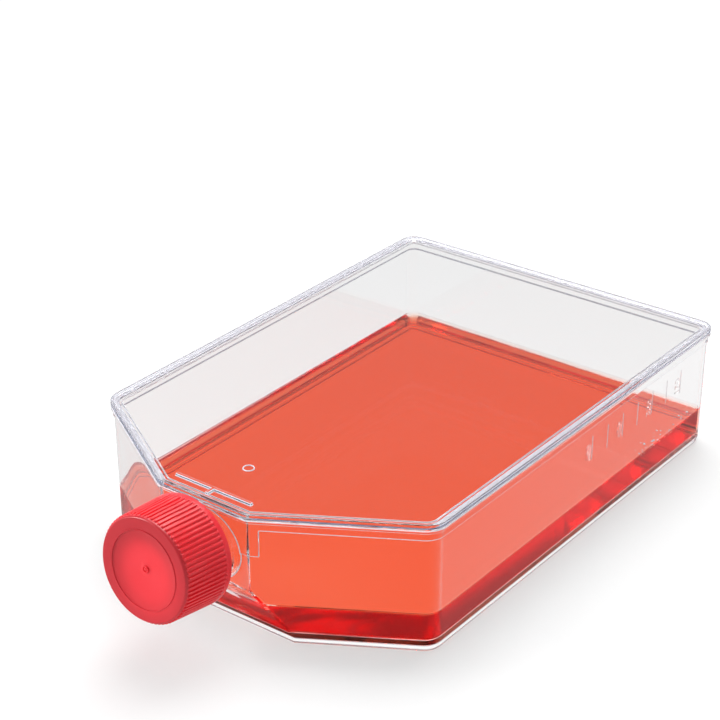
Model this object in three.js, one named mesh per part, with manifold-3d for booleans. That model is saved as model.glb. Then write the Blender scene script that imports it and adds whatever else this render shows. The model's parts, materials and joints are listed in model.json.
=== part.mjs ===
// Cell culture flask of the 300 square centimetre class: a moulded polystyrene tray with its neck, a lid
// welded on top, a ribbed screw cap with its sealing disc, and a layer of culture medium.
// Millimetres, +Z up, the neck points along -Y, and the flask is the same on both sides of X = 0.
// The origin is on the bench, under the middle of the whole flask with its cap on.

import * as THREE from 'three';
import { mergeVertices } from 'three/addons/utils/BufferGeometryUtils.js';
import Module from 'manifold-3d';

const wasm = await Module();
wasm.setup();

// ---------- Driving dimensions ----------

// Plan of the flask, taken at the outer edge of the lid
const planLength = 226.5;          // neck end to back end
const planWidth = 151.4;
const neckEndWidth = 39.4;         // the short flat end that carries the neck
const shoulderDepth = 33.5;        // how far back the slanting shoulders reach
const neckEndRadius = 3.2;         // corner radii in plan
const shoulderRadius = 9;
const backRadius = 6.5;
const sharpestRadius = 0.5;        // least corner radius of anything set in from the plan

// Heights
const footHeight = 1.7;            // stacking foot below the floor
const floorThickness = 2;
const rampTopHeight = 20.3;        // where the slanting front meets the neck end
const flangeHeight = 48.4;         // underside of the weld flange
const flangeThickness = 1.3;

// Walls
const wallThickness = 1.6;
const flangeOverhang = 0.75;       // flange beyond the proud band
const bandWidth = 2.9;             // proud band under the flange
const bandStep = 0.45;             // proud band beyond the wall below it
const wallDraft = 0.35;            // how much the wall leans in from its top to the bench
const footInset = 0.45;            // foot set in from the wall
const footWidth = 2.2;
const floorFillet = 1.4;           // inside radius between floor and wall
const edgeBreak = 0.35;            // small chamfer on moulded outer edges

// Slanting front between the foot and the neck end
const rampStart = 9.8;             // front face of the foot, back from the neck end of the plan
const rampThickness = 1.7;

// Lid
const weldGap = 0.3;               // between the tray and the lid
const lidThickness = 1.5;
const ridgeWidth = 1.55;           // stacking ridge round the edge of the lid
const ridgeHeight = 0.5;
const tongueDepth = 1.1;           // locating tongue that drops inside the tray's wall
const tongueWidth = 1.1;
const stopBarLength = 34;          // T-shaped stacking stop on the lid
const stopBarPlace = 6.9;          // back from the neck end of the plan
const stopStemLength = 3.8;
const stopRibWidth = 1.3;
const stopRibHeight = 0.9;

// Neck, measured along its axis from where the axis crosses the neck end of the plan
const neckAxisHeight = 34.1;
const neckTilt = THREE.MathUtils.degToRad(6.5);   // it rises towards the mouth
const neckBore = 12.9;             // radius
const neckWall = 1.6;
const neckLength = 25.6;
const rootFlare = 1.9;             // oval root beyond the round tube on each side
const rootClearance = 0.1;         // from the oval root up to the flange
const rootLength = 1.6;            // straight stretch of the oval root
const rootBlend = 4.4;             // from the oval root to the round tube
const partingRise = 1;             // mould parting line beside the neck, above the neck's axis
const partingReach = 3.1;          // how far back the proud upper part of the neck end runs

// Sealing disc
const linerThickness = 1.3;
const linerGap = 0.3;              // to the mouth on one side and to the cap on the other
const linerClearance = 0.4;        // round its edge, inside the cap

// Cap
const threadRoom = 2.58;           // between the neck's tube and the inside of the cap
const capSkirtThickness = 2;       // out to the rib valleys at the front
const capTaper = 0.8;              // how much wider the open end is than the front
const capLength = 21.7;
const capTopThickness = 1.7;       // at the middle of the dish
const ribCount = 72;
const ribDepth = 0.62;
const ribFootShare = 0.72;         // widths of a rib as shares of the pitch
const ribCrestShare = 0.36;
const ribEndLength = 0.5;          // each rib drops away at its front end
const ribEndDrop = 0.3;
const skirtBand = 2.3;             // smooth band at the open end
const frontBand = 1;               // smooth edge of the front, as deep as the rib valleys
const frontRounding = 0.8;
const frontRing = 4.98;            // round the shallow dish in the front face
const dishRim = 0.25;              // step down at the dish's edge
const dishDepth = 0.5;             // at its middle
const gateRadius = 1.2;
const gateHeight = 0.35;

// Culture medium
const mediumDepth = 10.4;
const mediumGap = 0.3;             // to the tray all round

// Facets
const neckCornerSteps = 3;
const wideCornerSteps = 7;
const filletSteps = 3;
const blendSteps = 6;
const roundSteps = 72;

// ---------- Heights and places that follow ----------

const floorTop = footHeight + floorThickness;
const bandHeight = flangeHeight - bandWidth;
const flangeTop = flangeHeight + flangeThickness;
const lidBottom = flangeTop + weldGap;
const lidTop = lidBottom + lidThickness;
const ridgeTop = lidTop + ridgeHeight;
const wallInset = flangeOverhang + bandStep;
const chamberInset = wallInset + wallThickness;
const rampInset = wallInset + leanAt(rampTopHeight);
const neckRadius = neckBore + neckWall;
const rootHalfWidth = neckRadius + rootFlare;
const rootHalfHeight = flangeHeight - rootClearance - neckAxisHeight;
const partingHeight = neckAxisHeight + partingRise;
const linerStart = neckLength + linerGap;
const capInnerTop = linerStart + linerThickness + linerGap;
const capFront = capInnerTop + capTopThickness + dishDepth;
const capStart = capFront - capLength;
const capBore = neckRadius + threadRoom;
const frontRadius = capBore + capSkirtThickness;
const capRadius = frontRadius + ribDepth + capTaper;
const dishRadius = frontRadius - frontRing;

// How far the walls lean in at a height
function leanAt(height) {
  return wallDraft * (flangeHeight - height) / flangeHeight;
}

// ---------- Solids: closed geometries, joined and cut with manifold-3d ----------

function solid(geometry) {
  geometry.deleteAttribute('normal');
  geometry.deleteAttribute('uv');
  const merged = mergeVertices(geometry, 1e-4);
  return new wasm.Manifold(new wasm.Mesh({
    numProp: 3,
    vertProperties: new Float32Array(merged.attributes.position.array),
    triVerts: new Uint32Array(merged.index.array),
  }));
}

function geometryOf(body) {
  const mesh = body.getMesh();
  const geometry = new THREE.BufferGeometry();
  geometry.setAttribute('position', new THREE.BufferAttribute(mesh.vertProperties, 3));
  geometry.setIndex(new THREE.BufferAttribute(mesh.triVerts, 1));
  return geometry;
}

// A solid through a stack of loops that all have as many points, from its underside up
function loft(loops) {
  const count = loops[0].length;
  const positions = loops.flat().flatMap((point) => point.toArray());
  const index = [];
  for (let level = 0; level + 1 < loops.length; level++) {
    for (let i = 0; i < count; i++) {
      const a = level * count + i;
      const b = level * count + (i + 1) % count;
      index.push(a, b, b + count, a, b + count, a + count);
    }
  }
  const top = (loops.length - 1) * count;
  for (const [a, b, c] of THREE.ShapeUtils.triangulateShape(loops[0], [])) {
    index.push(c, b, a, top + a, top + b, top + c);
  }
  const geometry = new THREE.BufferGeometry();
  geometry.setAttribute('position', new THREE.Float32BufferAttribute(positions, 3));
  geometry.setIndex(index);
  return solid(geometry);
}

// A solid of revolution about Z, from [radius, height] pairs that run from the axis back to the axis
function revolve(profile) {
  const points = profile.map(([radius, height]) => new THREE.Vector2(radius, height));
  return solid(new THREE.LatheGeometry(points, roundSteps).rotateX(Math.PI / 2));
}

// A prism across the flask, from [y, z] pairs that run anticlockwise seen from +X
function prismAcross(profile) {
  const shape = new THREE.Shape(profile.map(([y, z]) => new THREE.Vector2(y, z)));
  const geometry = new THREE.ExtrudeGeometry(shape, { depth: 2 * planWidth, bevelEnabled: false });
  const across = new THREE.Matrix4().makeBasis(
    new THREE.Vector3(0, 1, 0), new THREE.Vector3(0, 0, 1), new THREE.Vector3(1, 0, 0));
  return solid(geometry.translate(0, 0, -planWidth).applyMatrix4(across));
}

// A block from one corner to the opposite one
function block(from, to) {
  const size = to.clone().sub(from);
  const middle = from.clone().add(to).multiplyScalar(0.5);
  return solid(new THREE.BoxGeometry(...size).translate(...middle));
}

// ---------- Plan outline ----------

// Corners of the plan, anticlockwise from the right-hand end of the neck end
const rightCorners = [
  { x: neckEndWidth / 2, y: 0, radius: neckEndRadius, steps: neckCornerSteps },
  { x: planWidth / 2, y: shoulderDepth, radius: shoulderRadius, steps: wideCornerSteps },
  { x: planWidth / 2, y: planLength, radius: backRadius, steps: wideCornerSteps },
];
const leftCorners = rightCorners.map((corner) => ({ ...corner, x: -corner.x })).reverse();
const planCorners = [...rightCorners, ...leftCorners];

function normalOut(from, to) {
  return new THREE.Vector2(to.y - from.y, from.x - to.x).normalize();
}

// The plan set in by a distance, as a level loop of points; its rounded corners stay concentric
function outline(inset, height) {
  const loop = [];
  planCorners.forEach((corner, i) => {
    const before = normalOut(planCorners.at(i - 1), corner);
    const after = normalOut(corner, planCorners[(i + 1) % planCorners.length]);
    const centreInset = Math.max(corner.radius, inset + sharpestRadius);
    const reach = centreInset / (1 + before.dot(after));
    const sweep = Math.acos(before.dot(after));
    for (let step = 0; step <= corner.steps; step++) {
      const angle = before.angle() + sweep * step / corner.steps;
      loop.push(new THREE.Vector3(
        corner.x - reach * (before.x + after.x) + (centreInset - inset) * Math.cos(angle),
        corner.y - reach * (before.y + after.y) + (centreInset - inset) * Math.sin(angle),
        height));
    }
  });
  return loop;
}

// The outline of a wall that leans in below the flange
function wallOutline(inset, height) {
  return outline(inset + leanAt(height), height);
}

// ---------- Tray ----------

// Distance of the slanting front from the neck end at a height, on its outer face or set back from it
function rampAt(height, setBack = 0) {
  const rise = rampTopHeight - footHeight;
  const run = rampStart - rampInset;
  return rampStart - (height - footHeight) * run / rise + setBack * Math.hypot(rise, run) / rise;
}

const rampClear = 2 * rampTopHeight;   // by this height the slanting plane is in front of the neck end
const wellClear = -planWidth;          // a place along Y well in front of the tray

// The tray's block as moulded, before the slanting front is taken off it
function trayBlock() {
  const underFlange = flangeHeight + flangeThickness / 2;
  const footFace = wallInset + wallDraft + footInset;
  const walls = loft([
    outline(footFace + edgeBreak, 0),
    outline(footFace, edgeBreak),
    outline(footFace, footHeight),
    wallOutline(wallInset, footHeight + footInset),
    wallOutline(wallInset, underFlange),
  ]);
  const band = loft([wallOutline(flangeOverhang, bandHeight), wallOutline(flangeOverhang, underFlange)]);
  const neckEnd = loft([
    wallOutline(flangeOverhang, partingHeight),
    wallOutline(flangeOverhang, underFlange),
  ]).intersect(block(
    new THREE.Vector3(-planWidth, 0, 0),
    new THREE.Vector3(planWidth, partingReach, flangeTop)));
  const flange = loft([
    outline(edgeBreak, flangeHeight),
    outline(0, flangeHeight + edgeBreak),
    outline(0, flangeTop),
  ]);
  return walls.add(band).add(neckEnd).add(flange);
}

// The room under the slanting front and in front of the foot
function underFront() {
  return prismAcross([
    [wellClear, -footHeight],
    [rampStart, -footHeight],
    [rampStart, footHeight],
    [rampAt(rampClear), rampClear],
    [wellClear, rampClear],
  ]);
}

// The shallow room under the floor, inside the foot
function underFloor() {
  const inset = wallInset + wallDraft + footInset + footWidth;
  const front = block(
    new THREE.Vector3(-planWidth, wellClear, -2 * footHeight),
    new THREE.Vector3(planWidth, rampStart + footWidth, 2 * footHeight));
  return loft([outline(inset, -footHeight), outline(inset, footHeight)]).subtract(front);
}

// The chamber up to a height, or what fills it with a gap to the floor, walls and slanting front
function chamber(top, gap) {
  const loops = [];
  for (let step = 0; step <= filletSteps; step++) {
    const angle = Math.PI / 2 * step / filletSteps;
    loops.push(wallOutline(
      chamberInset + gap + floorFillet * (1 - Math.sin(angle)),
      floorTop + gap + floorFillet * (1 - Math.cos(angle))));
  }
  loops.push(wallOutline(chamberInset + gap, top));
  const front = prismAcross([
    [wellClear, 0],
    [rampAt(0, rampThickness + gap), 0],
    [rampAt(rampClear, rampThickness + gap), rampClear],
    [wellClear, rampClear],
  ]);
  return loft(loops).subtract(front);
}

// ---------- Neck: its frame has Z along the axis towards the mouth and Y up ----------

const neckTurn = Math.PI / 2 - neckTilt;
const neckMatrix = new THREE.Matrix4().makeRotationX(neckTurn).setPosition(0, 0, neckAxisHeight);

function oval(halfWidth, halfHeight, along) {
  const loop = [];
  for (let step = 0; step < roundSteps; step++) {
    const angle = 2 * Math.PI * step / roundSteps;
    loop.push(new THREE.Vector3(halfWidth * Math.cos(angle), halfHeight * Math.sin(angle), along));
  }
  return loop;
}

// From the oval root, which starts inside the chamber, through the blend to the round tube's end
function neckLoops(inset, end, endInset) {
  const loops = [oval(rootHalfWidth - inset, rootHalfHeight - inset, -chamberInset - rootLength)];
  for (let step = 0; step <= blendSteps; step++) {
    const share = step / blendSteps;
    const ease = THREE.MathUtils.smoothstep(share, 0, 1);
    loops.push(oval(
      THREE.MathUtils.lerp(rootHalfWidth, neckRadius, ease) - inset,
      THREE.MathUtils.lerp(rootHalfHeight, neckRadius, ease) - inset,
      rootLength + rootBlend * share));
  }
  loops.push(oval(neckRadius - inset, neckRadius - inset, end - endInset));
  loops.push(oval(neckRadius - inset - endInset, neckRadius - inset - endInset, end));
  return loops.map((loop) => loop.map((point) => point.applyMatrix4(neckMatrix)));
}

function tray() {
  return trayBlock()
    .subtract(underFront())
    .subtract(underFloor())
    .add(loft(neckLoops(0, neckLength, edgeBreak)))
    .subtract(chamber(flangeTop + weldGap, 0))
    .subtract(loft(neckLoops(neckWall, neckLength + linerThickness, edgeBreak)));
}

// ---------- Lid ----------

function lid() {
  const plate = loft([
    outline(edgeBreak, lidBottom),
    outline(0, lidBottom + edgeBreak),
    outline(0, ridgeTop - edgeBreak),
    outline(edgeBreak, ridgeTop),
  ]);
  const recess = loft([outline(ridgeWidth, lidTop), outline(ridgeWidth, 2 * ridgeTop)]);
  const tongueInset = chamberInset + weldGap;
  const tongue = loft([
    outline(tongueInset, lidBottom - tongueDepth),
    outline(tongueInset, lidTop),
  ]).subtract(loft([
    outline(tongueInset + tongueWidth, 0),
    outline(tongueInset + tongueWidth, 2 * ridgeTop),
  ]));
  const stopBar = block(
    new THREE.Vector3(-stopBarLength / 2, stopBarPlace - stopRibWidth / 2, lidBottom),
    new THREE.Vector3(stopBarLength / 2, stopBarPlace + stopRibWidth / 2, lidTop + stopRibHeight));
  const stopStem = block(
    new THREE.Vector3(-stopRibWidth / 2, stopBarPlace - stopStemLength, lidBottom),
    new THREE.Vector3(stopRibWidth / 2, stopBarPlace, lidTop + stopRibHeight));
  return plate.subtract(recess).add(tongue).add(stopBar).add(stopStem);
}

// ---------- Cap and sealing disc, in the neck's frame ----------

// Radius over the ribs at a place along the cap
function crestAt(along) {
  return capRadius - capTaper * (along - capStart) / capLength;
}

function valleyAt(along) {
  return crestAt(along) - ribDepth;
}

// Section through all the ribs; their feet lie below the valleys
function ribLoop(along, drop) {
  const crest = crestAt(along) - drop;
  const foot = valleyAt(along) - ribDepth;
  const corners = [
    { radius: foot, share: -ribFootShare },
    { radius: crest, share: -ribCrestShare },
    { radius: crest, share: ribCrestShare },
    { radius: foot, share: ribFootShare },
  ];
  const loop = [];
  for (let rib = 0; rib < ribCount; rib++) {
    for (const { radius, share } of corners) {
      const angle = 2 * Math.PI / ribCount * (rib + share / 2);
      loop.push(new THREE.Vector3(radius * Math.cos(angle), radius * Math.sin(angle), along));
    }
  }
  return loop;
}

function capRibs() {
  const front = capFront - frontBand;
  return loft([
    ribLoop(capStart + skirtBand, 0),
    ribLoop(front - ribEndLength, 0),
    ribLoop(front, ribEndDrop),
  ]);
}

// The cap without its ribs and its bore
function capBlank() {
  const bandEnd = capStart + skirtBand;
  const roundingStart = capFront - frontRounding;
  const profile = [
    [0, capStart],
    [capRadius - edgeBreak, capStart],
    [crestAt(capStart + edgeBreak), capStart + edgeBreak],
    [crestAt(bandEnd), bandEnd],
    [valleyAt(bandEnd + ribDepth), bandEnd + ribDepth],
  ];
  for (let step = 0; step <= filletSteps; step++) {
    const angle = Math.PI / 2 * step / filletSteps;
    profile.push([
      valleyAt(roundingStart) - frontRounding * (1 - Math.cos(angle)),
      roundingStart + frontRounding * Math.sin(angle),
    ]);
  }
  profile.push([dishRadius, capFront]);
  for (let step = 0; step < blendSteps; step++) {
    const share = 1 - step / blendSteps;
    profile.push([
      (dishRadius - dishRim) * share + gateRadius * (1 - share),
      capFront - dishRim - (dishDepth - dishRim) * (1 - share * share),
    ]);
  }
  profile.push([gateRadius, capFront - dishDepth]);
  profile.push([gateRadius / 2, capFront - dishDepth + gateHeight]);
  profile.push([0, capFront - dishDepth + gateHeight]);
  return revolve(profile);
}

function cap() {
  const bore = revolve([[0, 0], [capBore, 0], [capBore, capInnerTop], [0, capInnerTop]]);
  return capBlank().add(capRibs()).subtract(bore);
}

function liner() {
  const radius = capBore - linerClearance;
  return revolve([[0, linerStart], [radius, linerStart], [radius, linerStart + linerThickness],
    [0, linerStart + linerThickness]]);
}

// ---------- Scene graph ----------

const polystyrene = { color: 0xdde3e8, roughness: 0.06, metalness: 0, transparent: true, opacity: 0.35 };
const polyethylene = { color: 0xe3343f, roughness: 0.32, metalness: 0 };
const sealFoam = { color: 0xf0efe9, roughness: 0.6, metalness: 0 };
const mediumRed = { color: 0xff5a3c, roughness: 0.02, metalness: 0, transparent: true, opacity: 0.8 };

function part(name, body, finish) {
  const mesh = new THREE.Mesh(geometryOf(body), new THREE.MeshStandardMaterial(finish));
  mesh.name = name;
  return mesh;
}

const neckFrame = new THREE.Group();
neckFrame.position.z = neckAxisHeight;
neckFrame.rotation.x = neckTurn;
neckFrame.add(part('cap_liner', liner(), sealFoam));
neckFrame.add(part('screw_cap', cap(), polyethylene));

const flask = new THREE.Group();
flask.add(part('flask_body', tray(), polystyrene));
flask.add(part('top_plate', lid(), polystyrene));
flask.add(part('culture_medium', chamber(floorTop + mediumDepth, mediumGap), mediumRed));
flask.add(neckFrame);

// Move the flask along so that the origin lies under the middle of its length
const middle = new THREE.Box3().setFromObject(flask, true).getCenter(new THREE.Vector3());
flask.position.y = -middle.y;

const scene = new THREE.Group();
scene.add(flask);

export default scene;
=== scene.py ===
import json
import math
import random
import bmesh
import bpy
from mathutils import Matrix, Vector
from mathutils.bvhtree import BVHTree


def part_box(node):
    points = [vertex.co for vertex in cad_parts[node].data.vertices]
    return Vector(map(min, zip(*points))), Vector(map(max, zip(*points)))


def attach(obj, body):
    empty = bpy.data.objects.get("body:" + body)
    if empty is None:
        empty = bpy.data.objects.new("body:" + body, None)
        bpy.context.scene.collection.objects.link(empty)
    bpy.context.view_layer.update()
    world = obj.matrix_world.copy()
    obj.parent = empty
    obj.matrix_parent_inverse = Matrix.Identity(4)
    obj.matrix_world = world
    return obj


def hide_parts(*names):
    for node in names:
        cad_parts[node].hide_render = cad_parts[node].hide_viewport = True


# Cell culture flask: clear tray and lid, red screw cap, orange-red medium. Metres, +Z up, neck along -Y.
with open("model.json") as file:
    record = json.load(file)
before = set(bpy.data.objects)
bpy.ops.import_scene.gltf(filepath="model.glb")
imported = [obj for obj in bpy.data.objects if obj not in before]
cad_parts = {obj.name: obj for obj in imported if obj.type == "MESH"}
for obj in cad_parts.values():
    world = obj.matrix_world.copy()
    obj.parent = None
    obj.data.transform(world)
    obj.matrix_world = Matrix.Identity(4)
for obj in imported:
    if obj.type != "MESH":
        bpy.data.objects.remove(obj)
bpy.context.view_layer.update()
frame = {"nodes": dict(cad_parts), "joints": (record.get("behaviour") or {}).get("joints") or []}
nodes = frame["nodes"]
joints = {joint["name"]: joint for joint in frame["joints"]}
mm = 0.001

neckOrigin = Vector(joints["cap_turn"]["pos_m"])
neckAxis = Vector(joints["cap_turn"]["axis"]).normalized()
across = Vector((1, 0, 0))
neckUp = neckAxis.cross(across)
# Takes a point measured along +Z out of the neck, with +Y up, into the flask's frame
neckFrame = Matrix.Translation(neckOrigin) @ Matrix((across, neckUp, neckAxis)).transposed().to_4x4()
print("frame loaded:", ", ".join(sorted(nodes)))


def newMaterial(name):
    material = bpy.data.materials.new(name)
    material.use_nodes = True
    tree = material.node_tree
    return material, tree, tree.nodes["Principled BSDF"], tree.nodes["Material Output"]


def addNode(tree, kind, **settings):
    node = tree.nodes.new("ShaderNode" + kind)
    for key, value in settings.items():
        setattr(node, key, value)
    return node


def setSockets(node, values):
    for name, value in values.items():
        node.inputs[name].default_value = value


def combine(tree, operation, first, second, clamp=False):
    result = addNode(tree, "Math", operation=operation, use_clamp=clamp)
    tree.links.new(first, result.inputs[0])
    tree.links.new(second, result.inputs[1])
    return result.outputs["Value"]


def measure(tree, place, operation, reference=None):
    # The distance to a point, the length along an axis or the distance to the origin
    vector = addNode(tree, "VectorMath", operation=operation)
    tree.links.new(place, vector.inputs[0])
    if reference is not None:
        vector.inputs[1].default_value = reference
    return vector.outputs["Value"]


def onObject(tree):
    return addNode(tree, "TexCoord").outputs["Object"]


def noiseOn(tree, scale, detail=2.0):
    # Noise in the piece's own metres
    noise = addNode(tree, "TexNoise")
    setSockets(noise, {"Scale": scale, "Detail": detail})
    tree.links.new(onObject(tree), noise.inputs["Vector"])
    return noise.outputs["Fac"]


def rangeOf(tree, value, start, end, first, last, easing="SMOOTHSTEP"):
    # Goes from first to last while the value goes from start to end
    span = addNode(tree, "MapRange", interpolation_type=easing)
    setSockets(span, {"From Min": start, "From Max": end, "To Min": first, "To Max": last})
    tree.links.new(value, span.inputs["Value"])
    return span.outputs["Result"]


def spread(tree, noise, low, high):
    # Nearly all of a noise lies between the first two numbers
    return rangeOf(tree, noise, 0.3, 0.7, low, high, "LINEAR")


def roughen(tree, shader, height, strength, distance):
    bump = addNode(tree, "Bump")
    setSockets(bump, {"Strength": strength, "Distance": distance})
    tree.links.new(height, bump.inputs["Height"])
    tree.links.new(bump.outputs["Normal"], shader.inputs["Normal"])


def mixColours(tree, share, first, second):
    # Each colour is three numbers or the output of a node
    mix = addNode(tree, "Mix", data_type="RGBA")
    for socket, colour in (("A", first), ("B", second)):
        if isinstance(colour, tuple):
            mix.inputs[socket].default_value = (*colour, 1)
        else:
            tree.links.new(colour, mix.inputs[socket])
    tree.links.new(share, mix.inputs["Factor"])
    return mix.outputs["Result"]


def mixShaders(tree, share, first, second):
    mix = addNode(tree, "MixShader")
    tree.links.new(share, mix.inputs["Fac"])
    tree.links.new(first, mix.inputs[1])
    tree.links.new(second, mix.inputs[2])
    return mix.outputs["Shader"]


def absorb(tree, output, colour, density):
    volume = addNode(tree, "VolumeAbsorption")
    setSockets(volume, {"Color": (*colour, 1), "Density": density})
    tree.links.new(volume.outputs["Volume"], output.inputs["Volume"])


def mergedCopy(nodeName, reach=0.002 * mm, shortest=0.004 * mm, flatWithin=0.4):
    # A CAD node's mesh with its loose triangles joined up; a side flat within some degrees is one face
    bm = bmesh.new()
    bm.from_mesh(nodes[nodeName].data)
    bmesh.ops.remove_doubles(bm, verts=bm.verts, dist=reach)
    bmesh.ops.dissolve_degenerate(bm, dist=shortest, edges=bm.edges)
    bmesh.ops.dissolve_limit(bm, angle_limit=math.radians(flatWithin), verts=bm.verts, edges=bm.edges)
    bm.normal_update()
    return bm


def breakEdges(bm, offset, choose, finish=0):
    # A small round on the chosen edges, in the piece's material of that number
    edges = [edge for edge in bm.edges if edge.is_manifold and choose(edge)]
    rounds = bmesh.ops.bevel(bm, geom=edges, offset=offset, offset_type="OFFSET", segments=2, profile=0.5,
                             affect="EDGES", material=-1, clamp_overlap=False)
    for face in rounds["faces"]:
        face.material_index = finish


def bentOver(degrees):
    return lambda edge: edge.calc_face_angle() > math.radians(degrees)


def linkMesh(mesh, name, body, materials):
    piece = bpy.data.objects.new(name, mesh)
    bpy.context.scene.collection.objects.link(piece)
    for material in materials:
        mesh.materials.append(material)
    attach(piece, body)
    return piece


def meshOf(bm, name):
    mesh = bpy.data.meshes.new(name)
    bm.to_mesh(mesh)
    bm.free()
    return mesh


def finishPiece(bm, name, body, materials, sharpAngle=50):
    for face in bm.faces:
        face.smooth = True
    mesh = meshOf(bm, name)
    mesh.set_sharp_from_angle(angle=math.radians(sharpAngle))
    piece = linkMesh(mesh, name, body, materials)
    # Broad flat sides keep their own normal up to the rounds beside them
    shading = piece.modifiers.new("flat sides stay flat", "WEIGHTED_NORMAL")
    shading.mode = "FACE_AREA"
    shading.weight = 100
    shading.keep_sharp = True
    return piece


# The clear plastic of the tray and the lid, in their walls and at their edges
plastic = {"tint": (0.80, 0.81, 0.86), "density": 22, "ior": 1.59}


def makePolystyrene():
    finish = {"shine": (0.10, 0.10, 0.11), "roughest": 0.03,
              "waveScale": 90, "waveStrength": 0.3, "waveHeight": 0.02 * mm}
    material, tree, shader, output = newMaterial("clear_polystyrene")
    setSockets(shader, {"Base Color": (1, 1, 1, 1), "Transmission Weight": 1, "IOR": plastic["ior"],
                        "Specular Tint": (*finish["shine"], 1)})
    waves = noiseOn(tree, finish["waveScale"])
    tree.links.new(spread(tree, waves, 0, finish["roughest"]), shader.inputs["Roughness"])
    roughen(tree, shader, waves, finish["waveStrength"], finish["waveHeight"])
    absorb(tree, output, plastic["tint"], plastic["density"])
    return material


def makeEdgeHaze():
    # The rounded edges and the weld: a little milky, with a painted glow that stands in for the light
    # running inside the walls
    finish = {"colour": (0.93, 0.93, 1.0), "clear": 0.3, "paintedGlowStrength": 0.1, "low": 0.12, "high": 0.3,
              "hazeScale": 700, "hazeStrength": 0.3, "hazeHeight": 0.03 * mm}
    material, tree, shader, output = newMaterial("polystyrene_edge")
    colour = (*finish["colour"], 1)
    # The emission is a painted glow: these edges shine though no lamp is in them
    setSockets(shader, {"Base Color": colour, "Transmission Weight": finish["clear"], "IOR": plastic["ior"],
                        "Emission Color": colour, "Emission Strength": finish["paintedGlowStrength"]})
    haze = noiseOn(tree, finish["hazeScale"], detail=3)
    tree.links.new(spread(tree, haze, finish["low"], finish["high"]), shader.inputs["Roughness"])
    roughen(tree, shader, haze, finish["hazeStrength"], finish["hazeHeight"])
    absorb(tree, output, plastic["tint"], plastic["density"])
    return material


def makeMediumLiquid():
    finish = {"tint": (1.0, 0.395, 0.11), "density": 260, "ior": 1.335, "shine": (0.2, 0.2, 0.2)}
    material, tree, shader, output = newMaterial("culture_medium_liquid")
    setSockets(shader, {"Base Color": (1, 1, 1, 1), "Specular Tint": (*finish["shine"], 1),
                        "Transmission Weight": 1, "IOR": finish["ior"], "Roughness": 0})
    absorb(tree, output, finish["tint"], finish["density"])
    return material


def deepenEnd(tree, plain):
    # Painted light on the cap's end: a painted glow round one point, and painted shade that deepens the
    # colour away from there
    settings = {
        "deep": (0.56, 0.016, 0.027),
        "paintedBrightSpot": (2.5 * mm, -4 * mm, 29 * mm),      # across, up and along from the neck's root
        "bright": 3 * mm, "dark": 20 * mm,
        "endFrom": 28.2 * mm, "endTo": 29.2 * mm,      # only the end shows it, and not the ribs
    }
    place = onObject(tree)
    away = measure(tree, place, "DISTANCE", neckFrame @ Vector(settings["paintedBrightSpot"]))
    along = measure(tree, place, "DOT_PRODUCT", neckAxis)
    root = neckOrigin.dot(neckAxis)
    dim = rangeOf(tree, away, settings["bright"], settings["dark"], 0, 1)
    onEnd = rangeOf(tree, along, root + settings["endFrom"], root + settings["endTo"], 0, 1)
    return mixColours(tree, combine(tree, "MULTIPLY", dim, onEnd), plain, settings["deep"])


def makeRedPlastic():
    finish = {"low": (0.88, 0.024, 0.038), "high": (0.95, 0.034, 0.050), "cloudScale": 120,
              "smoothest": 0.29, "roughest": 0.36, "ior": 1.5,
              "grainScale": 2600, "grainStrength": 0.25, "grainHeight": 0.02 * mm,
              "soft": 0.12, "softColour": (1.0, 0.3, 0.3), "softDepth": 0.6 * mm}
    material, tree, shader, output = newMaterial("red_polyethylene")
    cloud = noiseOn(tree, finish["cloudScale"], detail=3)
    grain = noiseOn(tree, finish["grainScale"])
    plain = mixColours(tree, cloud, finish["low"], finish["high"])
    # The base colour carries the painted glow and painted shade of the cap's end
    tree.links.new(deepenEnd(tree, plain), shader.inputs["Base Color"])
    tree.links.new(spread(tree, cloud, finish["smoothest"], finish["roughest"]), shader.inputs["Roughness"])
    roughen(tree, shader, grain, finish["grainStrength"], finish["grainHeight"])
    setSockets(shader, {"IOR": finish["ior"], "Subsurface Weight": finish["soft"],
                        "Subsurface Radius": finish["softColour"], "Subsurface Scale": finish["softDepth"]})
    return material


def makeSealFoam():
    finish = {"low": (0.78, 0.77, 0.72), "high": (0.90, 0.89, 0.85), "smoothest": 0.55, "roughest": 0.75,
              "poreScale": 1800, "poreStrength": 0.5, "poreDepth": 0.05 * mm}
    material, tree, shader, output = newMaterial("seal_foam")
    pores = noiseOn(tree, finish["poreScale"], detail=4)
    tree.links.new(mixColours(tree, pores, finish["low"], finish["high"]), shader.inputs["Base Color"])
    tree.links.new(spread(tree, pores, finish["smoothest"], finish["roughest"]), shader.inputs["Roughness"])
    roughen(tree, shader, pores, finish["poreStrength"], finish["poreDepth"])
    return material


polystyrene = makePolystyrene()
edgeHazeAndGlow = makeEdgeHaze()
mediumLiquid = makeMediumLiquid()
redPlastic = makeRedPlastic()
sealFoam = makeSealFoam()
print("materials made")


def makeTray():
    settings = {"round": 0.3 * mm, "bend": 55}
    bm = mergedCopy("flask_body")
    breakEdges(bm, settings["round"], bentOver(settings["bend"]), finish=1)
    piece = finishPiece(bm, "tray_and_neck", "flask", (polystyrene, edgeHazeAndGlow))
    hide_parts("flask_body")


def makeLid():
    settings = {"round": 0.24 * mm, "bend": 55}
    bm = mergedCopy("top_plate")
    breakEdges(bm, settings["round"], bentOver(settings["bend"]), finish=1)
    piece = finishPiece(bm, "welded_lid", "flask", (polystyrene, edgeHazeAndGlow))
    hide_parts("top_plate")


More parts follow.
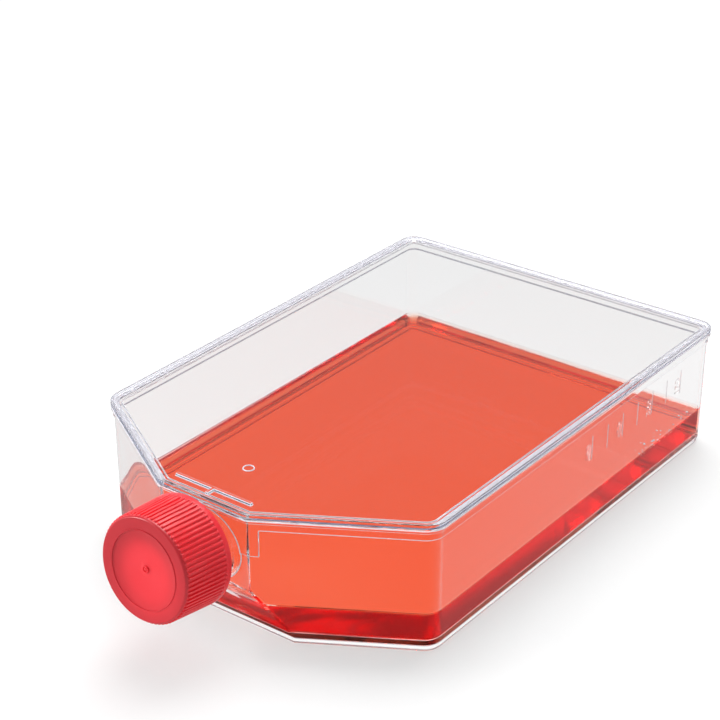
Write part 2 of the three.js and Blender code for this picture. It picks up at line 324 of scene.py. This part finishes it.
def makeCap():
    settings = {"ribRound": 0.12 * mm, "shortestRib": 6 * mm, "ribBend": 25, "lengthwise": 0.9, "sharp": 35,
                "endFace": 28.9 * mm, "dishRadius": 13.95 * mm, "dishDepth": 1.0 * mm}
    bm = mergedCopy("screw_cap", reach=0.02 * mm, flatWithin=0.01)

    def alongRib(edge):
        run = edge.verts[1].co - edge.verts[0].co
        if run.length <= settings["shortestRib"]:
            return False
        if abs(run.normalized().dot(neckAxis)) <= settings["lengthwise"]:
            return False
        return edge.calc_face_angle() > math.radians(settings["ribBend"])

    breakEdges(bm, settings["ribRound"], alongRib)
    # The middle of the end sinks to a shallow bowl
    toNeck = neckFrame.inverted()
    for vert in bm.verts:
        place = toNeck @ vert.co
        share = place.xy.length / settings["dishRadius"]
        if place.z > settings["endFace"] and share < 1:
            vert.co -= neckAxis * settings["dishDepth"] * (1 - share ** 2)
    piece = finishPiece(bm, "ribbed_cap", "cap", (redPlastic,), settings["sharp"])
    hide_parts("screw_cap")
    return piece


def makeMedium():
    settings = {
        "toWall": 0.55 * mm,       # wets the walls, which are 0.3 mm from the CAD solid
        "climb": 1.3 * mm,         # the surface climbs the walls by this much
        "steps": ((0.30, 0.35), (0.35, 0.45), (0.6, 0.30), (1.0, 0.15), (1.5, 0.05)),   # inset and fall, mm
    }
    bm = mergedCopy("culture_medium")
    moves = [vert.normal * vert.calc_shell_factor() * settings["toWall"] for vert in bm.verts]
    for vert, move in zip(bm.verts, moves):
        vert.co += move
    surface = max(bm.faces, key=lambda face: face.calc_center_median().z)
    bmesh.ops.translate(bm, verts=list(surface.verts), vec=(0, 0, settings["climb"] - settings["toWall"]))
    for inset, fall in settings["steps"]:
        bmesh.ops.inset_region(bm, faces=[surface], thickness=inset * mm, depth=-fall * mm,
                               use_even_offset=True)
    piece = finishPiece(bm, "medium", "flask", (mediumLiquid,))
    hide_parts("culture_medium")


makeTray()
makeLid()
cap = makeCap()
makeMedium()
nodes["cap_liner"].data.materials.clear()
nodes["cap_liner"].data.materials.append(sealFoam)
print("tray, lid, cap, medium and seal finished")


def makeWeldSeam():
    # The melted bead between the flange and the underside of the lid, let a little into the flange
    settings = {"gap": 0.3 * mm, "into": 0.06 * mm, "under": 0.015 * mm,
                "facingDown": -0.99, "aboveTongue": 0.5 * mm, "rim": 0.1 * mm}
    bm = mergedCopy("top_plate")
    undersides = [face for face in bm.faces if face.normal.z < settings["facingDown"]]
    # The lid's underside has two levels: the foot of its tongue, and above it the face that is welded
    welded = min(face.calc_center_median().z for face in undersides) + settings["aboveTongue"]
    ledges = [face for face in undersides if face.calc_center_median().z > welded]
    reach = {face: max(abs(vert.co.x) for vert in face.verts) for face in ledges}
    ring = [face for face in ledges if reach[face] > max(reach.values()) - settings["rim"]]
    bmesh.ops.delete(bm, geom=[face for face in bm.faces if face not in ring], context="FACES")
    bmesh.ops.translate(bm, verts=bm.verts, vec=(0, 0, -settings["under"]))
    top = bmesh.ops.extrude_face_region(bm, geom=bm.faces[:], use_keep_orig=True)
    sunk = [item for item in top["geom"] if isinstance(item, bmesh.types.BMVert)]
    bmesh.ops.translate(bm, verts=sunk, vec=(0, 0, -settings["gap"] - settings["into"]))
    bmesh.ops.recalc_face_normals(bm, faces=bm.faces)
    finishPiece(bm, "weld_seam", "flask", (edgeHazeAndGlow,))


def spunSection(corners, steps, turns=1, rise=0):
    # A section of four corners, each out from the Z axis and up, spun round it. A rise makes it a helix
    bm = bmesh.new()
    section = [bm.verts.new((out, 0, up)) for out, up in corners]
    edges = [bm.edges.new((section[i], section[(i + 1) % 4])) for i in range(4)]
    bmesh.ops.spin(bm, geom=section + edges, cent=(0, 0, 0), axis=(0, 0, 1), dvec=(0, 0, rise / steps),
                   angle=math.tau * turns, steps=steps, use_merge=rise == 0, use_duplicate=False)
    return bm


def helix(radius, height, footWidth, crestWidth, start, turns, lead, startTurn):
    # A ridge wound round the neck's axis in the neck's frame; height is negative for an inside thread
    stepsPerTurn = 60
    runOut = stepsPerTurn / 8       # each end fades over an eighth of a turn
    steps = int(turns * stepsPerTurn)
    foot, crest = footWidth / 2, crestWidth / 2
    bm = spunSection(((radius, start - foot), (radius + height, start - crest),
                      (radius + height, start + crest), (radius, start + foot)), steps, turns, lead * turns)
    for i, vert in enumerate(bm.verts):
        step = i // 4
        share = min(1, (min(step, steps - step) + 0.5) / runOut)
        reach = vert.co.xy.length
        fade = radius + (reach - radius) * math.sin(share * math.pi / 2)
        vert.co.x *= fade / reach
        vert.co.y *= fade / reach
    bmesh.ops.holes_fill(bm, edges=bm.edges, sides=4)
    turned = Matrix.Rotation(math.tau * startTurn, 3, "Z")
    bmesh.ops.rotate(bm, verts=bm.verts, cent=(0, 0, 0), matrix=turned)
    return bm


def makeThread(name, body, material, settings):
    # Two starts of a right-handed thread, half a turn apart
    whole = bmesh.new()
    for startTurn in (0, 0.5):
        mesh = meshOf(helix(startTurn=startTurn, **settings), "start")
        whole.from_mesh(mesh)
        bpy.data.meshes.remove(mesh)
    bmesh.ops.transform(whole, matrix=neckFrame, verts=whole.verts)
    bmesh.ops.recalc_face_normals(whole, faces=whole.faces)
    finishPiece(whole, name, body, (material,))


neckThread = {"radius": 14.35 * mm, "height": 1.35 * mm, "footWidth": 2.2 * mm, "crestWidth": 0.9 * mm,
              "start": 13.4 * mm, "turns": 1.25, "lead": 8 * mm}
capThread = {"radius": 17.3 * mm, "height": -2.3 * mm, "footWidth": 1.9 * mm, "crestWidth": 0.7 * mm,
             "start": 11.4 * mm, "turns": 1.25, "lead": 8 * mm}
makeWeldSeam()
makeThread("neck_thread", "flask", polystyrene, neckThread)
makeThread("cap_thread", "cap", redPlastic, capThread)
print("weld seam and threads made")


def onRightWall(mesh, wall):
    # Marks drawn in the plane X = 0 move out to the right-hand wall and follow its lean
    outside = 0.2
    for vert in mesh.vertices:
        hit = wall.ray_cast(Vector((outside, vert.co.y, vert.co.z)), Vector((-1, 0, 0)))[0]
        vert.co.x += hit.x
    return mesh


def drawNumber(volume, height, thickness):
    # Plain figures, turned so that they read along +Z with their tops towards the neck
    figureShare = 0.7       # of the text's size
    text = bpy.data.curves.new("number", "FONT")
    text.body = str(volume)
    text.size = height / figureShare
    text.extrude = thickness / 2
    text.resolution_u = 3
    drawn = bpy.data.objects.new("number", text)
    bpy.context.scene.collection.objects.link(drawn)
    bpy.context.view_layer.update()
    mesh = bpy.data.meshes.new_from_object(drawn)
    bpy.data.objects.remove(drawn)
    mesh.materials.clear()
    mesh.transform(Matrix(((0, 0, 1), (0, -1, 0), (1, 0, 0))).to_4x4())
    return mesh


def makeGraduations():
    # Volumes read with the flask standing on its back end, neck up
    settings = {
        "perMl": 1 / 6.74 * mm, "step": 75, "first": 150, "last": 600, "numberEvery": 150,
        "low": 31.3 * mm, "high": 41.2 * mm, "width": 0.38 * mm, "proud": 0.2 * mm, "into": 0.06 * mm,
        "round": 0.06 * mm, "bend": 55, "textHeight": 3.4 * mm, "textGap": 0.8 * mm, "toWall": 0.3 * mm,
    }
    tray = mergedCopy("flask_body")
    wall = BVHTree.FromBMesh(tray)
    tray.free()
    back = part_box("culture_medium")[1][1] + settings["toWall"]
    volumes = range(settings["first"], settings["last"] + 1, settings["step"])
    places = {volume: back - volume * settings["perMl"] for volume in volumes}
    thickness = settings["proud"] + settings["into"]
    middle = (settings["proud"] - settings["into"]) / 2
    bm = bmesh.new()
    for place in places.values():
        box = bmesh.ops.create_cube(bm, size=1)
        bmesh.ops.scale(bm, verts=box["verts"],
                        vec=(thickness, settings["width"], settings["high"] - settings["low"]))
        bmesh.ops.translate(bm, verts=box["verts"],
                            vec=(middle, place, (settings["high"] + settings["low"]) / 2))
    breakEdges(bm, settings["round"], bentOver(settings["bend"]), finish=1)
    lines = onRightWall(meshOf(bm, "graduation_lines"), wall)
    linkMesh(lines, "graduation_lines", "flask", (polystyrene, edgeHazeAndGlow))
    for volume, place in places.items():
        if volume % settings["numberEvery"] == 0:
            number = drawNumber(volume, settings["textHeight"], thickness)
            number.transform(Matrix.Translation((middle, place - settings["textGap"], settings["low"])))
            linkMesh(onRightWall(number, wall), f"number_{volume}", "flask", (polystyrene,))


def ringBead(radius, width, height, steps=40):
    # A round ring with sloping sides, let in a little at its foot, centred on the Z axis
    foot = 0.1 * mm
    bm = spunSection(((radius - width / 2, -foot), (radius - width / 4, height),
                      (radius + width / 4, height), (radius + width / 2, -foot)), steps)
    bmesh.ops.remove_doubles(bm, verts=bm.verts, dist=0.001 * mm)
    bmesh.ops.recalc_face_normals(bm, faces=bm.faces)
    return bm


def ontoCap(bm, name, place):
    # From the Z axis to that place on the cap's end
    onEnd = neckFrame.copy()
    onEnd.translation = place
    bmesh.ops.transform(bm, matrix=onEnd, verts=bm.verts)
    finishPiece(bm, name, "cap", (redPlastic,))


def makeLidMark():
    # The small raised ring at the lid's gate, on the centre line
    settings = {"radius": 2.0 * mm, "width": 0.45 * mm, "height": 0.25 * mm,
                "fromFront": 25.4 * mm, "underRidge": 0.9 * mm}
    lowest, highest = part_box("top_plate")
    bm = ringBead(settings["radius"], settings["width"], settings["height"])
    bmesh.ops.translate(bm, verts=bm.verts,
                        vec=(0, lowest[1] + settings["fromFront"], highest[2] - settings["underRidge"]))
    finishPiece(bm, "lid_gate_mark", "flask", (edgeHazeAndGlow,))


def makeCapMark():
    # The gate mark in the middle of the cap's dished end, a low ring with a nub in it
    settings = {"radius": 1.1 * mm, "width": 0.4 * mm, "height": 0.22 * mm, "nub": 0.5 * mm, "nubFlat": 0.6}
    tree = BVHTree.FromObject(cap, bpy.context.evaluated_depsgraph_get())
    before = 0.1       # well out in front of the cap
    end = tree.ray_cast(neckOrigin + neckAxis * before, -neckAxis)[0]
    bm = ringBead(settings["radius"], settings["width"], settings["height"])
    nub = bmesh.ops.create_icosphere(bm, subdivisions=3, radius=settings["nub"])
    bmesh.ops.scale(bm, vec=(1, 1, settings["nubFlat"]), verts=nub["verts"])
    ontoCap(bm, "cap_gate_mark", end)


def makeDishBead():
    # The fine raised line round the dished end
    settings = {"radius": 14.4 * mm, "width": 0.6 * mm, "height": 0.24 * mm, "end": 29.7 * mm, "steps": 120}
    bm = ringBead(settings["radius"], settings["width"], settings["height"], settings["steps"])
    ontoCap(bm, "cap_dish_bead", neckOrigin + neckAxis * settings["end"])


def makeBubbles():
    # A little froth where the medium meets the right-hand wall near the back
    settings = {"count": 34, "seed": 4, "smallest": 0.28 * mm, "largest": 0.62 * mm, "shrink": 0.6,
                "alongBack": (78 * mm, 122 * mm), "nearest": 0.9 * mm, "fromWall": 4.5 * mm,
                "sunk": 0.1 * mm}
    dice = random.Random(settings["seed"])
    lowest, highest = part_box("culture_medium")
    bm = bmesh.new()
    for _ in range(settings["count"]):
        radius = dice.uniform(settings["smallest"], settings["largest"])
        radius *= dice.uniform(settings["shrink"], 1)
        inward = settings["nearest"] + settings["fromWall"] * dice.random() ** 2
        place = (highest[0] - inward, dice.uniform(*settings["alongBack"]), highest[2] - settings["sunk"])
        bubble = bmesh.ops.create_icosphere(bm, subdivisions=2, radius=radius)
        bmesh.ops.translate(bm, verts=bubble["verts"], vec=place)
    finishPiece(bm, "froth", "flask", (edgeHazeAndGlow,))


makeGraduations()
makeLidMark()
makeCapMark()
makeDishBead()
makeBubbles()
print("graduations, gate marks, dish bead and froth made")


def glassyRay(tree, path):
    # 1 for what shows in or through the plastic and the medium
    return combine(tree, "MAXIMUM", path.outputs["Is Glossy Ray"], path.outputs["Is Transmission Ray"])


def whenReflected(tree, path, share):
    # 1 for everything but a reflection, which shows the studio at the given share of its brightness
    mirrored = combine(tree, "SUBTRACT", path.outputs["Is Glossy Ray"],
                       path.outputs["Is Transmission Ray"], clamp=True)
    return rangeOf(tree, mirrored, 0, 1, 1, share, "LINEAR")


def addBackground(tree, strength=1.0):
    background = addNode(tree, "Background")
    setSockets(background, {"Color": (1, 1, 1, 1), "Strength": strength})
    return background


def makeWorld():
    light = {
        "ambient": 0.42,
        "reflected": 0.6,                    # reflections show the studio at this share of its brightness
        "backdropSide": (-0.6, 0.8, 0),      # the white backdrop's side, the darker room is opposite
        "roomEnds": -0.35, "backdropStarts": 0.25,
        "backdropHigh": 0.35, "roomLow": 0.7, "roomHigh": 0.3,
        "lowest": 0.12, "highest": 0.42,     # heights between which both fade
        "softboxFrom": 0.52, "softboxTo": 0.75, "softbox": 1.0,     # the big light overhead
    }
    world = bpy.data.worlds.new("studio")
    bpy.context.scene.world = world
    world.use_nodes = True
    tree = world.node_tree
    tree.nodes.clear()
    path = addNode(tree, "LightPath")
    # What the plastic and the medium show: a white backdrop that fades upward, and a darker room before it
    place = addNode(tree, "TexCoord").outputs["Generated"]
    split = addNode(tree, "SeparateXYZ")
    tree.links.new(place, split.inputs["Vector"])
    height = split.outputs["Z"]
    facing = measure(tree, place, "DOT_PRODUCT", light["backdropSide"])
    backdropShade = rangeOf(tree, height, light["lowest"], light["highest"], 1, light["backdropHigh"])
    roomShade = rangeOf(tree, height, light["lowest"], light["highest"],
                        light["roomLow"], light["roomHigh"])
    level = addNode(tree, "Mix", data_type="FLOAT")
    tree.links.new(rangeOf(tree, facing, light["roomEnds"], light["backdropStarts"], 0, 1),
                   level.inputs["Factor"])
    tree.links.new(roomShade, level.inputs["A"])
    tree.links.new(backdropShade, level.inputs["B"])
    overhead = rangeOf(tree, height, light["softboxFrom"], light["softboxTo"], 0, light["softbox"])
    lit = combine(tree, "MAXIMUM", level.outputs["Result"], overhead)
    shown = addBackground(tree)
    dimmed = combine(tree, "MULTIPLY", lit, whenReflected(tree, path, light["reflected"]))
    tree.links.new(dimmed, shown.inputs["Strength"])
    around = mixShaders(tree, glassyRay(tree, path), addBackground(tree, light["ambient"]).outputs[0],
                        shown.outputs[0])
    seen = mixShaders(tree, path.outputs["Is Camera Ray"], around, addBackground(tree).outputs[0])
    tree.links.new(seen, addNode(tree, "OutputWorld").inputs["Surface"])


def makeFloor():
    settings = {"size": 12, "below": 0.05 * mm, "colour": (0.93, 0.93, 0.93), "roughness": 0.9,
                "shadow": 0.45,                        # the share of the shadow that is seen
                "shadowTo": 0.45, "whiteFrom": 0.9,    # the shadow fades out between these distances
                "reflected": 0.5}
    bm = bmesh.new()
    bmesh.ops.create_grid(bm, x_segments=1, y_segments=1, size=settings["size"] / 2)
    floor = bpy.data.objects.new("floor", meshOf(bm, "floor"))
    bpy.context.scene.collection.objects.link(floor)
    floor.location.z = -settings["below"]
    material, tree, shader, output = newMaterial("pale_floor")
    setSockets(shader, {"Base Color": (*settings["colour"], 1), "Roughness": settings["roughness"],
                        "Specular IOR Level": 0})
    # White to the eye apart from a share of the shadow, and plain white in and through the plastic
    path = addNode(tree, "LightPath")
    reach = measure(tree, onObject(tree), "LENGTH")
    bare = rangeOf(tree, reach, settings["shadowTo"], settings["whiteFrom"], 1 - settings["shadow"], 1)
    eye = combine(tree, "MULTIPLY", path.outputs["Is Camera Ray"], bare)
    share = combine(tree, "MAXIMUM", glassyRay(tree, path), eye)
    white = addNode(tree, "Emission")
    tree.links.new(whenReflected(tree, path, settings["reflected"]), white.inputs["Strength"])
    mix = mixShaders(tree, share, shader.outputs["BSDF"], white.outputs["Emission"])
    tree.links.new(mix, output.inputs["Surface"])
    floor.data.materials.append(material)


lamps = {
    "overhead": {"place": (-0.25, 0.55, 1.3), "aim": (0, 0, 0), "size": 1.1, "power": 20},
    "cap_side": {"place": (-0.75, -0.75, 0.40), "aim": (0, -0.12, 0.03), "size": 0.25, "power": 6.5},
}


def makeLamp(name, place, aim, size, power):
    data = bpy.data.lights.new(name, "AREA")
    data.shape = "DISK"
    data.size = size
    data.energy = power
    lamp = bpy.data.objects.new(name, data)
    bpy.context.scene.collection.objects.link(lamp)
    lamp.location = place
    lamp.rotation_euler = (Vector(aim) - Vector(place)).to_track_quat("-Z", "Y").to_euler()


def makeCamera():
    view = {"target": (-38.7, 43.0, 35.5), "azimuth": 37.3, "elevation": 26.96, "distance": 0.8,
            "lens": 98.7, "sensor": 36}
    turn = math.radians(view["azimuth"])
    tilt = math.radians(view["elevation"])
    back = Vector((math.sin(turn) * math.cos(tilt), -math.cos(turn) * math.cos(tilt), math.sin(tilt)))
    data = bpy.data.cameras.new("camera")
    data.lens = view["lens"]
    data.sensor_width = view["sensor"]
    camera = bpy.data.objects.new("camera", data)
    bpy.context.scene.collection.objects.link(camera)
    camera.location = Vector(view["target"]) * mm + back * view["distance"]
    camera.rotation_euler = (math.pi / 2 - tilt, 0, turn)
    bpy.context.scene.camera = camera


makeWorld()
makeFloor()
for lampName, lamp in lamps.items():
    makeLamp(lampName, **lamp)
makeCamera()
scene = bpy.context.scene
scene.view_settings.view_transform = "Standard"
bounces = 96      # light crosses many walls and their gaps before it gets out
scene.cycles.max_bounces = bounces
scene.cycles.transmission_bounces = bounces
scene.cycles.glossy_bounces = bounces
scene.cycles.diffuse_bounces = 4
print("studio set")
